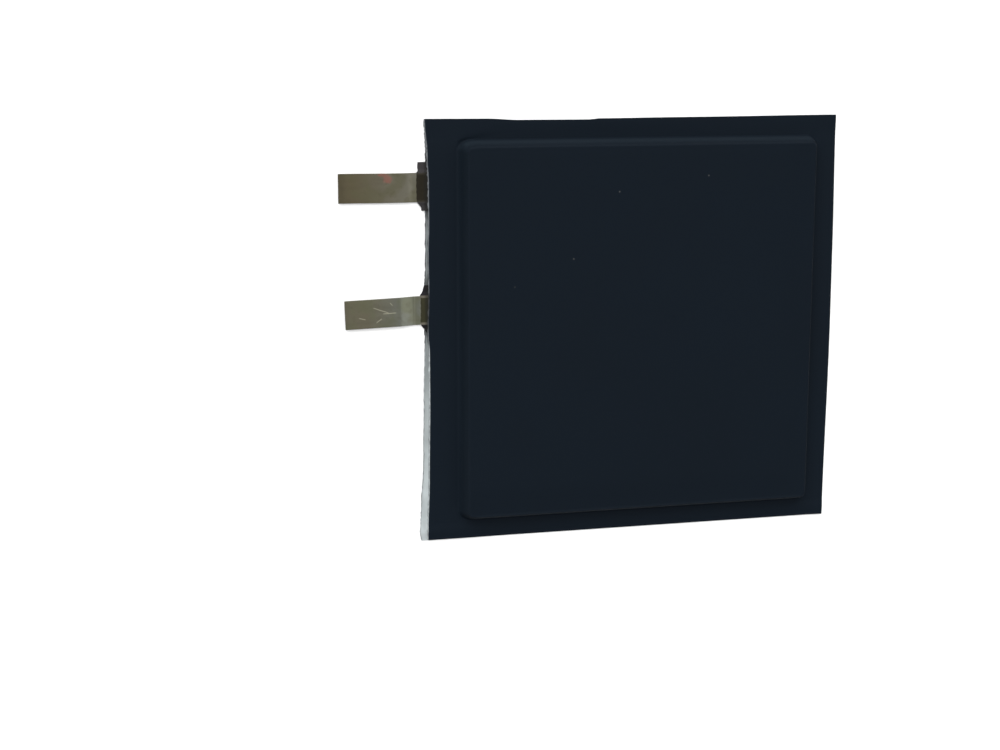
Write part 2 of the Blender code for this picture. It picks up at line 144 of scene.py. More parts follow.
# Fixed tones, which no setting changes
# the tabs' cut edges: dark partly as painted shade round the strips' outlines
SHEARED_DARK = (0.035, 0.030, 0.026)
SHEARED_LIGHT = (0.075, 0.066, 0.054)
# the tab film's tone near the pouch's edge
FILM_BY_POUCH_EDGE = (0.006, 0.006, 0.005)
EDGE_OVER_TAB = (0.02, 0.02, 0.02)

# The stage: each light as (place that it shines from, width in degrees), then the floor and the camera
MAIN_LIGHT = ((-30, 38, 72), 64)
LOW_LIGHT = ((-8, 92, 34), 75)
ACCENT_LIGHT = ((70, -24, 75), 36)
FLOOR_SIZE = 6
FLOOR_PLACE = (0, 0, -0.02 * MM)
CAMERA_PLACE = Vector((-94.2, 49.9, 289.3)) * MM
CAMERA_AIM = Vector((-24.5, -7.75, 0.3)) * MM
CAMERA_LENS = 61.96


# Selecting and finishing


def deselect():
    if bpy.context.mode != "OBJECT":
        bpy.ops.object.mode_set(mode="OBJECT")
    bpy.ops.object.select_all(action="DESELECT")


def pick(obj):
    deselect()
    obj.select_set(True)
    bpy.context.view_layer.objects.active = obj


def settle(obj):
    """Leaves the object at the origin, unturned and unscaled, with its modifiers applied."""
    pick(obj)
    bpy.ops.object.transform_apply(location=True, rotation=True, scale=True)
    for modifier in list(obj.modifiers):
        bpy.ops.object.modifier_apply(modifier=modifier.name)


def smooth_shade(obj, degrees):
    pick(obj)
    bpy.ops.object.shade_smooth_by_angle(angle=math.radians(degrees))


def finish_piece(obj, body, slot, *nodes):
    """Hangs a finished piece on its body and takes the place of the plain pieces; the slot that it is given
    is not used.
    """
    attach(obj, body)
    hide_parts(*nodes)


def smooth(t):
    """0 up to 0, 1 from 1 on, and a soft S between them."""
    t = np.clip(t, 0.0, 1.0)
    return t * t * (3.0 - 2.0 * t)


def lines(*spans):
    """Places along one axis: each span is (start, end, step), and a span begins where the last one ended."""
    places = [spans[0][0]]
    for start, end, step in spans:
        count = max(1, round((end - start) / step))
        places.extend(start + (end - start) * (i + 1) / count for i in range(count))
    return np.array(places)


def soft_line(places, points):
    """A value that runs smoothly through (place, value) points in rising order of place."""
    value = np.full_like(places, points[0][1])
    for (start, low), (end, high) in zip(points, points[1:]):
        share = smooth((places - start) / (end - start))
        value = np.where(places >= start, low + (high - low) * share, value)
    return value


def add_grid(name, xs, ys):
    """A sheet of quads with a vertex at each pair of places, lying in the XY plane."""
    deselect()
    bpy.ops.mesh.primitive_grid_add(x_subdivisions=len(xs) - 1, y_subdivisions=len(ys) - 1, size=1)
    sheet = bpy.context.object
    sheet.name = sheet.data.name = name
    flat = read_points(sheet)
    column = np.rint((flat[:, 0] + 0.5) * (len(xs) - 1)).astype(int)
    row = np.rint((flat[:, 1] + 0.5) * (len(ys) - 1)).astype(int)
    flat[:, 0], flat[:, 1] = xs[column], ys[row]
    write_points(sheet, flat)
    return sheet


def read_points(obj):
    points = np.zeros(len(obj.data.vertices) * 3)
    obj.data.vertices.foreach_get("co", points)
    return points.reshape(-1, 3)


def write_points(obj, points):
    obj.data.vertices.foreach_set("co", points.astype(np.float32).ravel())
    obj.data.update()


def give_edge(obj, name):
    """A small rounded edge all round, which catches the light."""
    edge = obj.modifiers.new(name, "BEVEL")
    edge.width = EDGE_ROUND
    edge.segments = 2
    edge.limit_method = "ANGLE"
    edge.angle_limit = math.radians(60)


def give_wall(obj, thickness, inner_slot=0, rim_slot=0):
    """Thickens a sheet downwards, so that the modelled face stays where it is."""
    wall = obj.modifiers.new("wall", "SOLIDIFY")
    wall.thickness = thickness
    wall.offset = -1
    wall.use_even_offset = True
    wall.material_offset = inner_slot
    wall.material_offset_rim = rim_slot


# Shader maths


class Number:
    """A number socket, on which arithmetic adds Math nodes."""

    def __init__(self, finish, socket):
        self.finish, self.socket = finish, socket

    def math(self, operation, *others):
        sockets = {i: other for i, other in enumerate((self, *others))}
        return self.finish.add("ShaderNodeMath", {"operation": operation}, sockets)

    def __add__(self, other):
        return self.math("ADD", other)

    def __sub__(self, other):
        return self.math("SUBTRACT", other)

    def __rsub__(self, other):
        return (self * -1) + other

    def __mul__(self, other):
        return self.math("MULTIPLY", other)

    def __truediv__(self, other):
        return self.math("DIVIDE", other)

    __radd__, __rmul__ = __add__, __mul__

    def above(self, edge, blur):
        """0 below the edge and 1 above it, with a smooth change `blur` wide."""
        low, high = edge - blur / 2, edge + blur / 2
        settings = {"interpolation_type": "SMOOTHSTEP"}
        return self.finish.add("ShaderNodeMapRange", settings, {0: self, 1: low, 2: high})

    def within(self, low, high, blur):
        return self.above(low, blur) * (1 - self.above(high, blur))


def socket_name(name):
    return name.replace("_", " ").title().replace("Ior", "IOR")


def scaled(colour, share):
    return tuple(c * share for c in colour)


class Finish:
    """One material: its shader, and a method that adds any other node."""

    def __init__(self, name, **constants):
        self.material = bpy.data.materials.new(name)
        self.material.use_nodes = True
        self.tree = self.material.node_tree
        self.shader = self.tree.nodes["Principled BSDF"]
        for socket, value in constants.items():
            self.shader.inputs[socket_name(socket)].default_value = value
        coordinates = self.tree.nodes.new("ShaderNodeTexCoord")
        self.place = coordinates.outputs["Object"]
        parts = self.tree.nodes.new("ShaderNodeSeparateXYZ")
        self.tree.links.new(self.place, parts.inputs[0])
        self.x, self.y, self.z = (Number(self, parts.outputs[i]) for i in range(3))

    def add(self, kind, settings=None, sockets=None, output=0):
        node = self.tree.nodes.new(kind)
        for name, value in (settings or {}).items():
            setattr(node, name, value)
        for key, value in (sockets or {}).items():
            self.join(value, node.inputs[key])
        result = node.outputs[output]
        return Number(self, result) if result.type == "VALUE" else result

    def join(self, value, socket):
        if isinstance(value, Number):
            value = value.socket
        if isinstance(value, bpy.types.NodeSocket):
            self.tree.links.new(value, socket)
        else:
            socket.default_value = value

    def set(self, **sockets):
        for name, value in sockets.items():
            self.join(value, self.shader.inputs[socket_name(name)])

    def stretched(self, x, y, z):
        """The object's coordinates, in metres, multiplied along each axis."""
        return self.add("ShaderNodeVectorMath", {"operation": "MULTIPLY"}, {0: self.place, 1: (x, y, z)})

    def noise(self, size, detail=2.0, place=None, seed=0.0):
        """Soft noise from 0 to 1 with features about `size` metres across."""
        settings = {"noise_dimensions": "4D"}
        sockets = {"Vector": place or self.place, "W": seed, "Scale": 1 / size, "Detail": detail}
        return self.add("ShaderNodeTexNoise", settings, sockets, "Fac")

    def blend(self, share, first, second):
        """From the first colour to the second as share goes from 0 to 1."""
        first, second = (c if isinstance(c, bpy.types.NodeSocket) else (*c, 1.0) for c in (first, second))
        settings = {"data_type": "RGBA", "clamp_factor": True}
        return self.add("ShaderNodeMix", settings, {"Factor": share, 6: first, 7: second}, 2)

    def ramp(self, value, stops):
        """A colour that runs through (place, colour) stops as the value goes from 0 to 1."""
        node = self.tree.nodes.new("ShaderNodeValToRGB")
        elements = node.color_ramp.elements
        elements[0].position, elements[1].position = stops[0][0], stops[-1][0]
        for place, _ in stops[1:-1]:
            elements.new(place)
        for element, (_, colour) in zip(elements, stops):
            element.color = (*colour, 1.0)
        self.join(value, node.inputs[0])
        return node.outputs[0]

    def shade(self, colour, brightness):
        """The colour times a number that varies over the surface."""
        return self.add("ShaderNodeVectorMath", {"operation": "SCALE"}, {0: colour, "Scale": brightness})

    def bump(self, height, strength, distance):
        """Turns a height of 0 to 1 into a normal; `distance` is the height of 1 in metres."""
        sockets = {"Height": height, "Strength": strength, "Distance": distance}
        self.set(Normal=self.add("ShaderNodeBump", None, sockets))

    def spot(self, x, y, radius_x, radius_y, wobble=0.0):
        """1 inside a soft oval on the face, 0 outside it."""
        across, up = (self.x - x) / radius_x, (self.y - y) / radius_y
        distance = (across * across + up * up).math("POWER", 0.5)
        if wobble:
            distance = distance + (self.noise(0.7 * MM, seed=x * 1000) - 0.5) * wobble
        return 1 - distance.above(1.0, 0.5)

    def scratch(self, start, end, width):
        """1 along a straight scratch between two points of the face, 0 beside it."""
        (x0, y0), (x1, y1) = start, end
        run_x, run_y = x1 - x0, y1 - y0
        length = math.hypot(run_x, run_y)
        along = ((self.x - x0) * run_x + (self.y - y0) * run_y) / length
        beside = ((self.x - x0) * run_y - (self.y - y0) * run_x) / length
        wander = (self.noise(0.9 * MM, seed=x0 * 1000) - 0.5) * (width * 0.8)
        across = (beside + wander).within(-width / 2, width / 2, width * 0.7)
        return across * along.within(0, length, width * 2)


# Finishes


def nylon_finish(name, look):
    """The laminate's outer face: satin blue-black nylon with a fine grain, faint scuffs, dust specks and a
    painted highlight on the cup's wall.
    """
    finish = Finish(name, specular_ior_level=0.06)
    broad = finish.noise(22 * MM, 3.0, seed=1.0)
    mottle = finish.noise(4 * MM, 2.0, seed=2.0)
    grain = finish.noise(0.28 * MM, 2.0, seed=3.0)
    shade = (broad - 0.5) * 0.55 + (mottle - 0.5) * 0.22 + (grain - 0.5) * 0.10 + 0.5
    dark = scaled(look.laminate_colour, 0.80)
    light = scaled(look.laminate_colour, 1.22)

    # the press stretches and lightens the cup's wall, least on the tab side and the low side; this lighter
    # colour is also a painted highlight on the wall, where the low light from +Y would fall
    inside_x = finish.x.within(CUP_FOOT[0], CUP_FOOT[1], 0.5 * MM)
    inside_y = finish.y.within(CUP_FOOT[2], CUP_FOOT[3], 0.5 * MM)
    tab_side = 1 - finish.x.above(CUP_FOOT[0] + 1.35 * MM, 1 * MM)
    low_side = 1 - finish.y.above(CUP_FOOT[2] + 1.3 * MM, 1 * MM)
    eased = tab_side.math("MAXIMUM", low_side)
    faded = finish.z.above(2.3 * MM, 1.7 * MM) * (1 - eased)
    # drawn marks the stretched wall and also its painted highlight
    drawn = finish.z.above(0.7 * MM, 0.7 * MM) * (1 - faded) * (1 - eased * 0.68) * inside_x * inside_y
    colour = finish.blend(drawn, finish.blend(shade, dark, light), look.drawn_highlight_colour)

    # cloth-faced seal bars leave a faint weave in the flange
    sealed = 1 - inside_x * inside_y
    weave_x = (finish.x * (2 * math.pi / look.weave_pitch)).math("SINE")
    weave_y = (finish.y * (2 * math.pi / look.weave_pitch)).math("SINE")
    weave = weave_x * weave_y * 0.5 + 0.5

    scuff_place = finish.stretched(0.06, 1.0, 1.0)
    scuffs = finish.noise(0.35 * MM, 3.0, scuff_place, seed=5.0).above(0.66, 0.10)
    specks = 0
    for x, y, strength in DUST_SPECKS:
        specks = finish.spot(x * MM, y * MM, 0.16 * MM, 0.16 * MM, 0.8) * strength + specks
    finish.set(base_color=finish.blend(specks, colour, look.dust_colour))
    rough = (broad - 0.5) * 0.16 + (mottle - 0.5) * 0.10 + scuffs * 0.07 - sealed * 0.03
    finish.set(roughness=rough + look.laminate_roughness)
    height = grain * 0.45 + mottle * 0.30 + sealed * weave * 0.25
    finish.bump(height, 0.35, 0.02 * MM)
    return finish.material


def inner_face_finish(name, look):
    """The silvery inner face: clear plastic over foil, crinkled, and darker in bands along the tab side,
    darkest towards the high end.
    """
    finish = Finish(name, metallic=0.85, specular_ior_level=0.5)
    crinkle = finish.noise(1.6 * MM, 3.0, seed=11.0)
    streaks = finish.noise(0.5 * MM, 2.0, finish.stretched(1.0, 0.15, 1.0), seed=12.0)
    along = (finish.y + POUCH_HALF_Y) / (2 * POUCH_HALF_Y)
    full_tone = Vector(look.inner_face_colour)
    # how much of its brightness the face keeps, from the low end of the tab side to the high end
    shares = (
        (0.12, 1.0), (0.30, 0.80), (0.40, 0.56), (0.47, 0.46), (0.50, 0.17),
        (0.61, 0.17), (0.64, 0.38), (0.74, 0.44), (0.78, 0.09), (1.0, 0.09),
    )
    # darker in bands along Y, as the stops above give
    banded_tone = finish.ramp(along + (crinkle - 0.5) * 0.02, [(place, full_tone * share) for place, share in shares])
    finish.set(base_color=finish.shade(banded_tone, (crinkle * 0.7 + streaks * 0.3) * 0.35 + 0.80))
    finish.set(roughness=0.26 + crinkle * 0.22)
    finish.bump(crinkle * 0.6 + streaks * 0.4, 0.5, 0.04 * MM)
    return finish.material


def cut_edge_finish(name, look):
    """The cut edge: a foil core between plastic layers, brighter below the tabs, dark over the lower one."""
    finish = Finish(name, metallic=0.9)
    nicks = finish.noise(0.35 * MM, 3.0, finish.stretched(1.0, 0.4, 1.0), seed=21.0)
    below = 1 - finish.y.above(NEGATIVE_Y - 7 * MM, 5 * MM)
    colour = finish.blend(below, look.cut_edge_colour, scaled(look.inner_face_colour, 0.8))
    over_tab = finish.y.within(NEGATIVE_Y - 3.5 * MM, NEGATIVE_Y + 3.5 * MM, 2 * MM)
    colour = finish.blend(over_tab * 0.8, colour, EDGE_OVER_TAB)
    finish.set(base_color=finish.shade(colour, nicks.above(0.5, 0.5) * 0.7 + 0.5))
    finish.set(roughness=0.35 + nicks * 0.25)
    finish.bump(nicks, 0.4, 0.02 * MM)
    return finish.material


def metal_finish(name, warm, grey, warm_end, grey_end, seed):
    """Rolled strip: fine lines along X, oxide tints, a warm tone that turns grey inwards, and a darker tip.
    """
    finish = Finish(name, metallic=1.0)
    rolling = finish.noise(0.16 * MM, 3.0, finish.stretched(0.03, 1.0, 1.0), seed)
    tint = finish.noise(3.2 * MM, 2.0, seed=seed + 1)
    stain = finish.noise(1.1 * MM, 3.0, seed=seed + 2)
    toward_grey = (finish.x - warm_end) / (grey_end - warm_end)
    colour = finish.blend(toward_grey + (tint - 0.5) * 0.5, warm, grey)
    greenish = (warm[0] * 0.94, warm[1] * 1.05, warm[2] * 0.92)
    colour = finish.blend(tint.above(0.52, 0.18) * 0.55, colour, greenish)
    colour = finish.blend(stain.above(0.62, 0.2) * 0.35, colour, scaled(warm, 0.7))
    # darker towards the tip
    near_tip = 1 - finish.x.above(TAB_LOW.x + 1.1 * MM, 1.6 * MM)
    colour = finish.blend(near_tip * 0.6, colour, scaled(warm, 0.72))
    roughness = 0.34 + (rolling - 0.5) * 0.16 + (stain - 0.5) * 0.12
    return finish, colour, roughness, rolling * 0.7 + stain * 0.3


def sheared_edge_shade_finish(name):
    """The strip's cut edges, rougher than its rolled faces and darker, partly as painted shade that outlines
    the strip.
    """
    finish = Finish(name, metallic=1.0)
    tear = finish.noise(0.12 * MM, 2.0, finish.stretched(1.0, 1.0, 0.3), seed=36.0)
    finish.set(base_color=finish.blend(tear, SHEARED_DARK, SHEARED_LIGHT))
    finish.set(roughness=0.5 + tear * 0.2)
    finish.bump(tear, 0.4, 0.01 * MM)
    return finish.material


def positive_tab_finish(look):
    finish, colour, roughness, height = metal_finish(
        "positive_tab_strip", look.positive_end, look.positive_root, -50 * MM, -39 * MM, 31.0
    )
    # a faint smear of marking ink by the upper edge
    ink_y = POSITIVE_Y + 1.45 * MM
    ink = finish.spot(-44.2 * MM, ink_y, 0.75 * MM, 0.7 * MM, 1.1)
    trail = finish.spot(-44.9 * MM, ink_y + 0.75 * MM, 1.0 * MM, 0.28 * MM, 0.9)
    patchy = finish.noise(0.3 * MM, 2.0, seed=35.0).above(0.45, 0.25) * 0.5 + 0.5
    inked = ink.math("MAXIMUM", trail) * patchy * 0.42
    finish.set(base_color=finish.blend(inked, colour, look.ink_colour))
    finish.set(roughness=roughness + inked * 0.15)
    finish.bump(height, 0.3, 0.015 * MM)
    return finish.material


def negative_tab_finish(look):
    finish, colour, roughness, height = metal_finish(
        "negative_tab_strip", look.negative_end, look.negative_root, -48 * MM, -42 * MM, 41.0
    )
    marks = 0
    for scratch in SCRATCHES:
        points = [(x * MM, y * MM) for x, y in scratch]
        marks = finish.scratch(*points, 0.13 * MM) + marks
    # painted glints: two faint lighter lines across the strip, between the step and the tab film, standing in
    # for light on handling creases that the mesh doesn't have
    crease_glints = finish.x.within(-39.75 * MM, -39.55 * MM, 0.2 * MM)
    crease_glints = crease_glints + finish.x.within(-38.75 * MM, -38.55 * MM, 0.2 * MM)
    colour = finish.blend(crease_glints * 0.12, colour, look.scratch_colour)
    finish.set(base_color=finish.blend(marks * 0.45, colour, look.scratch_colour))
    finish.set(roughness=roughness + marks * 0.1)
    finish.bump(height - marks * 0.5, 0.3, 0.015 * MM)
    return finish.material


def sealant_finish(name, look, middle_y, film_colour, ear_colour, edge_share):
    """Dark brown tab film: darker near the pouch's edge, and lighter along the metal's edges."""
    finish = Finish(name, specular_ior_level=0.10)
    across = (finish.y - middle_y).math("ABSOLUTE")
    cloud = finish.noise(0.9 * MM, 3.0, seed=51.0)
    melt = finish.noise(0.35 * MM, 2.0, seed=52.0)
    over_tab = 1 - (across + (melt - 0.5) * (0.3 * MM)).above(TAB_WIDTH / 2 - 0.05 * MM, 0.25 * MM)
    over_edge = across.within(TAB_WIDTH / 2 - 0.35 * MM, TAB_WIDTH / 2 + 0.05 * MM, 0.2 * MM)
    colour = finish.blend(over_tab, ear_colour, film_colour)
    colour = finish.blend(over_edge * edge_share, colour, look.sealant_edge)
    # darker near the pouch's edge
    near_pouch_edge = (finish.x + (cloud - 0.5) * (0.4 * MM)).above(POUCH_EDGE - 0.35 * MM, 0.5 * MM)
    colour = finish.blend(near_pouch_edge * 0.6, colour, FILM_BY_POUCH_EDGE)
    finish.set(base_color=finish.shade(colour, 0.7 + cloud * 0.6))
    finish.set(roughness=0.42 + cloud * 0.2)
    finish.bump(cloud * 0.6 + melt * 0.4, 0.4, 0.03 * MM)
    return finish.material


def coating_finish(name, coating, foil, tail_limit, size):
    """A calendered electrode coating that gives way to bare foil along the tail."""
    finish = Finish(name)
    grain = finish.noise(size, 3.0, seed=61.0)
    rolled = finish.noise(0.4 * MM, 2.0, finish.stretched(0.05, 1.0, 1.0), seed=62.0)
    bare = 1 - finish.x.above(tail_limit, 0.15 * MM)
    coated = finish.blend(grain, scaled(coating, 0.75), scaled(coating, 1.3))
    foiled = finish.blend(rolled, scaled(foil, 0.8), foil)
    finish.set(base_color=finish.blend(bare, coated, foiled), metallic=bare * 0.95)
    finish.set(roughness=0.72 + (grain - 0.5) * 0.2 - bare * 0.4)
    finish.bump(grain * 0.6 + rolled * 0.4, 0.35, 0.01 * MM)
    return finish.material


def separator_finish(look):
    finish = Finish("porous_separator", specular_ior_level=0.35)
    pores = finish.noise(0.12 * MM, 2.0, seed=71.0)
    draw = finish.noise(0.8 * MM, 2.0, finish.stretched(0.08, 1.0, 1.0), seed=72.0)
    grey = scaled(look.separator_colour, 0.88)
    finish.set(base_color=finish.blend(pores * 0.5 + draw * 0.5, grey, look.separator_colour))
    finish.set(roughness=0.55 + (pores - 0.5) * 0.2)
    finish.bump(draw, 0.2, 0.01 * MM)
    return finish.material


def tape_finish(name, colour):
    finish = Finish(name, coat_weight=0.3, coat_roughness=0.15)
    haze = finish.noise(1.4 * MM, 3.0, seed=81.0)
    fibre = finish.noise(0.2 * MM, 2.0, finish.stretched(1.0, 0.1, 1.0), seed=82.0)
    finish.set(base_color=finish.blend(haze * 0.6 + fibre * 0.4, scaled(colour, 0.75), colour))
    finish.set(roughness=0.28 + haze * 0.2)
    finish.bump(fibre, 0.2, 0.01 * MM)
    return finish.material


def floor_finish(look):
    finish = Finish("pale_floor", specular_ior_level=0.1)
    cloud = finish.noise(40 * MM, 2.0, seed=91.0)
    finish.set(base_color=finish.blend(cloud, scaled(look.floor_colour, 0.985), look.floor_colour))
    finish.set(roughness=0.85 + cloud * 0.1)
    return finish.material


# The shapes of the two films


def cup_depth(x, y):
    """How far a point lies inside the cup's foot, in wall widths: 0 at the foot and 1 at the brow."""
    across = np.minimum((x - CUP_FOOT[0]) / CUP_WALL[0], (CUP_FOOT[1] - x) / CUP_WALL[1])
    along = np.minimum((y - CUP_FOOT[2]) / CUP_WALL[2], (CUP_FOOT[3] - y) / CUP_WALL[3])
    missing_x = np.maximum(CORNER_ROUND - across, 0)
    missing_y = np.maximum(CORNER_ROUND - along, 0)
    rounded = CORNER_ROUND - np.hypot(missing_x, missing_y)
    in_corner = (across < CORNER_ROUND) & (along < CORNER_ROUND)
    return np.where(in_corner, rounded, np.minimum(across, along))


def shoulder_drop(x, y):
    """The plateau's soft fall towards each wall."""
    inward = (x - CUP_FOOT[0], CUP_FOOT[1] - x, y - CUP_FOOT[2], CUP_FOOT[3] - y)
    drops = [
        drop * (1 - smooth((distance - wall) / width))
        for distance, wall, drop, width in zip(inward, CUP_WALL, SHOULDER_DROP, SHOULDER_WIDTH)
    ]
    return np.maximum.reduce(drops)


def plateau_swell(x, y):
    """The unevenness of a foil face over its stack, a few hundredths of a millimetre."""
    u, v = x / MM, y / MM
    swell = 0.014 * np.sin(u / 9.3 + 0.4) * np.cos(v / 11.7 - 0.6)
    swell += 0.008 * np.sin(u / 5.1 - v / 6.3 + 1.1)
    swell += 0.006 * np.cos(u / 17.0 + v / 4.4)
    for dent_x, dent_y, radius, height in PLATEAU_DENTS:
        swell += height * np.exp(-((u - dent_x) ** 2 + (v - dent_y) ** 2) / radius**2)
    return swell * MM


def band(places, middle, half, blur):
    """1 within `half` of the middle, falling to 0 over `blur`."""
    return 1 - smooth((np.abs(places - middle) - half) / blur)


def tab_share(y):
    """1 where a tab and its sealant fill the seal, 0 between and beyond the tabs."""
    return sum(band(y, middle, SEALANT_HALF, 2.4 * MM) for middle in (POSITIVE_Y, NEGATIVE_Y))


def past_cup(y):
    """1 in the seals above and below the cup, 0 beside it."""
    return smooth((y - CUP_FOOT[3] + 0.5 * MM) / (2 * MM)) + smooth((CUP_FOOT[2] + 0.5 * MM - y) / (2 * MM))


def tab_side_rise(x, y):
    """How far the front film stands up along the tab side, level over both tabs and lower at the corners."""
    full_rise = SEALANT_THICKNESS * 2 + TAB_THICKNESS + 3 * LAYER_GAP
    low_end = smooth((y + 30 * MM) / (24 * MM))
    high_end = 1 - smooth((y - 31 * MM) / (6 * MM))
    fade = (1.2 + 9 * past_cup(y)) * MM
    past_foot = smooth((x - CUP_FOOT[0]) / fade)
    return full_rise * (0.35 + 0.65 * low_end) * (0.3 + 0.7 * high_end) * (1 - past_foot)


def flange_lift(x, y):
    """How far the sealed flange, both films together, stands off the surface that the cell lies on."""
    u, v = x / MM, y / MM
    right = smooth((x - CUP_FOOT[1]) / (4 * MM)) * (0.14 + 0.06 * np.sin(v / 7.9 + 0.8))
    top = smooth((y - CUP_FOOT[3]) / (3.4 * MM)) * (0.12 + 0.05 * np.sin(u / 8.3 + 1.9))
    roll = smooth((POUCH_HALF_Y + y) / (1.9 * MM))
    low = smooth((CUP_FOOT[2] - y) / (2.2 * MM)) * (0.12 + 0.03 * np.sin(u / 10.7)) * roll
    return (right + top + low) * MM


def front_edge(y):
    """The front film's cut edge on the tab side, beyond the pouch's nominal edge."""
    return soft_line(y / MM, FRONT_CUT) * MM


def back_edge(y):
    """The back film's cut edge on the tab side, which shows beyond the front film's."""
    notch = 0.10 * np.exp(-(((y / MM) + 21.6) ** 2) / 0.4)
    ripple = 0.02 * np.sin(y / MM * 2.1) + 0.015 * np.sin(y / MM * 5.3 + 1)
    return (soft_line(y / MM, BACK_CUT) - notch + ripple) * MM


def top_edge(x):
    """The cut edge at the top, which sags a little towards the tab side and has one small step."""
    cut = ((-37.5, 0), (-27, -0.06), (-21, -0.34), (-8.0, -0.38), (-7.5, -0.22), (10, -0.14), (37.5, 0))
    return soft_line(x / MM, cut) * MM


def right_edge(y):
    """The cut edge on the far side, bowed out a little at the middle."""
    return soft_line(y / MM, ((-37, -0.1), (-6, 0.2), (14, 0.12), (37, -0.1))) * MM


def cut_to_outline(points, left_edge):
    """Moves the rim of a rectangular sheet to its cut outline, fading out before the cup."""
    x, y = points[:, 0].copy(), points[:, 1].copy()
    near_left = 1 - smooth((x + POUCH_HALF_X) / (4.5 * MM))
    near_right = smooth((x - POUCH_HALF_X + 3 * MM) / (3 * MM))
    near_top = smooth((y - POUCH_HALF_Y + 2.6 * MM) / (2.6 * MM))
    points[:, 0] += right_edge(y) * near_right - left_edge(y) * near_left
    points[:, 1] += top_edge(x) * near_top


def film_lines():
    """The places of the films' vertices: close together in the walls, wider apart on the plateau."""
    left, right, low, high = CUP_FOOT
    xs = lines(
        (POUCH_EDGE, POUCH_EDGE + 1.0 * MM, 0.2 * MM),
        (POUCH_EDGE + 1.0 * MM, left - 0.4 * MM, 0.34 * MM),
        (left - 0.4 * MM, left + 2.0 * MM, 0.1 * MM),
        (left + 2.0 * MM, right - 7.5 * MM, 0.9 * MM),
        (right - 7.5 * MM, right - 1.8 * MM, 0.5 * MM),
        (right - 1.8 * MM, right + 0.3 * MM, 0.1 * MM),
        (right + 0.3 * MM, POUCH_HALF_X, 0.4 * MM),
    )
    ys = lines(
        (-POUCH_HALF_Y, low - 0.3 * MM, 0.3 * MM),
        (low - 0.3 * MM, low + 1.8 * MM, 0.1 * MM),
        (low + 1.8 * MM, low + 7.2 * MM, 0.5 * MM),
        (low + 7.2 * MM, NEGATIVE_Y - 7 * MM, 0.9 * MM),
        (NEGATIVE_Y - 7 * MM, NEGATIVE_Y + 7 * MM, 0.35 * MM),
        (NEGATIVE_Y + 7 * MM, POSITIVE_Y - 7 * MM, 0.9 * MM),
        (POSITIVE_Y - 7 * MM, high - 2.1 * MM, 0.35 * MM),
        (high - 2.1 * MM, high + 0.4 * MM, 0.1 * MM),
        (high + 0.4 * MM, POUCH_HALF_Y, 0.3 * MM),
    )
    return xs, ys


def add_formed_film(look):
    """The front film: flange, humps over the tabs, cup walls and plateau in one drawn sheet."""
    film = add_grid("formed_front_film", *film_lines())
    points = read_points(film)
    x, y = points[:, 0].copy(), points[:, 1].copy()
    depth = cup_depth(x, y)
    tab_side = 1 - smooth((x - CUP_FOOT[0] - 1.5 * MM) / (1.5 * MM))
    wall = smooth(np.clip(depth, 0, 1) ** (0.85 + 0.35 * tab_side))
    flange = FLANGE_LOW + LAMINATE + tab_side_rise(x, y) + flange_lift(x, y)
    pucker = np.exp(-np.abs(depth) * 1.4) * np.sin(np.arctan2(y, x) * PUCKERS)
    corner = smooth((np.abs(x) - 29 * MM) / (3 * MM)) * smooth((np.abs(y) - 29 * MM) / (3 * MM))
    plateau = PLATEAU - SWELL_ROOM - shoulder_drop(x, y) + plateau_swell(x, y)
    points[:, 2] = flange + (plateau - flange) * wall + pucker * corner * PUCKER_HEIGHT
    cut_to_outline(points, front_edge)
    write_points(film, points)

    finishes = (
        nylon_finish("front_nylon", look),
        inner_face_finish("front_inner_face", look),
        cut_edge_finish("front_cut_edge", look),
    )
    finish_film(film, finishes, FRONT_OVERHANG, "black_laminate", "front_film")


def finish_film(film, finishes, overhang, slot, node):
    """Gives a sheet its thickness, its leaning cut and its finishes: upper face, lower face and cut edge."""
    for material in finishes:
        film.data.materials.append(material)
    give_wall(film, LAMINATE, inner_slot=1, rim_slot=2)
    settle(film)
    shear_rim(film, overhang)
    smooth_shade(film, FILM_CREASE)
    finish_piece(film, "root", slot, node)


def shear_rim(sheet, overhang):
    """Leans the cut on the tab side, as a trimming blade does, so that its lower edge stands out further."""
    points = read_points(sheet)
    upper = len(points) // 2  # the wall's second skin follows the first in the mesh
    y = points[upper:, 1]
    on_edge = points[:upper, 0] < POUCH_EDGE + 0.9 * MM
    on_edge &= np.isclose(points[:upper, 0], edge_at(points[:upper]), atol=0.03 * MM)
    ragged = 1 + 0.25 * np.sin(y / MM * 3.7) + 0.2 * np.sin(y / MM * 9.1 + 2)
    points[upper:, 0] -= on_edge * overhang * ragged
    write_points(sheet, points)


def edge_at(points):
    """The lowest X among the points at each place along Y."""
    rows = np.rint(points[:, 1] / (0.02 * MM)).astype(int)
    lowest = {}
    for row, x in zip(rows, points[:, 0]):
        lowest[row] = min(x, lowest.get(row, x))
    return np.array([lowest[row] for row in rows])


def add_back_sheet(look):
    """The back film: flat under the cup, lifted with the flange, and standing out past the front film."""
    sheet = add_grid("flat_back_film", *film_lines())
    points = read_points(sheet)
    x, y = points[:, 0].copy(), points[:, 1].copy()
    proud = smooth((POUCH_EDGE + 0.9 * MM - x) / (0.9 * MM))
    v = y / MM
    wave = 0.05 + 0.03 * np.sin(v / 0.9) * np.sin(v / 4.3) + 0.03 * np.sin(v / 2.2 + 0.7)
    below_tabs = 1 - smooth((y + 2 * MM) / (3 * MM))
    sealed = np.maximum(smooth((CUP_FOOT[0] - x) / (2 * MM)), past_cup(y)) * (1 - tab_share(y))
    ruffle = wave * MM * proud * below_tabs
    points[:, 2] = LAMINATE + flange_lift(x, y) + tab_side_rise(x, y) * sealed + ruffle
    cut_to_outline(points, back_edge)
    write_points(sheet, points)

    finishes = (
        inner_face_finish("back_inner_face", look),
        nylon_finish("back_nylon", look),
        cut_edge_finish("back_cut_edge", look),
    )
    finish_film(sheet, finishes, BACK_OVERHANG, "back_laminate", "back_film")


# The tabs and sealant


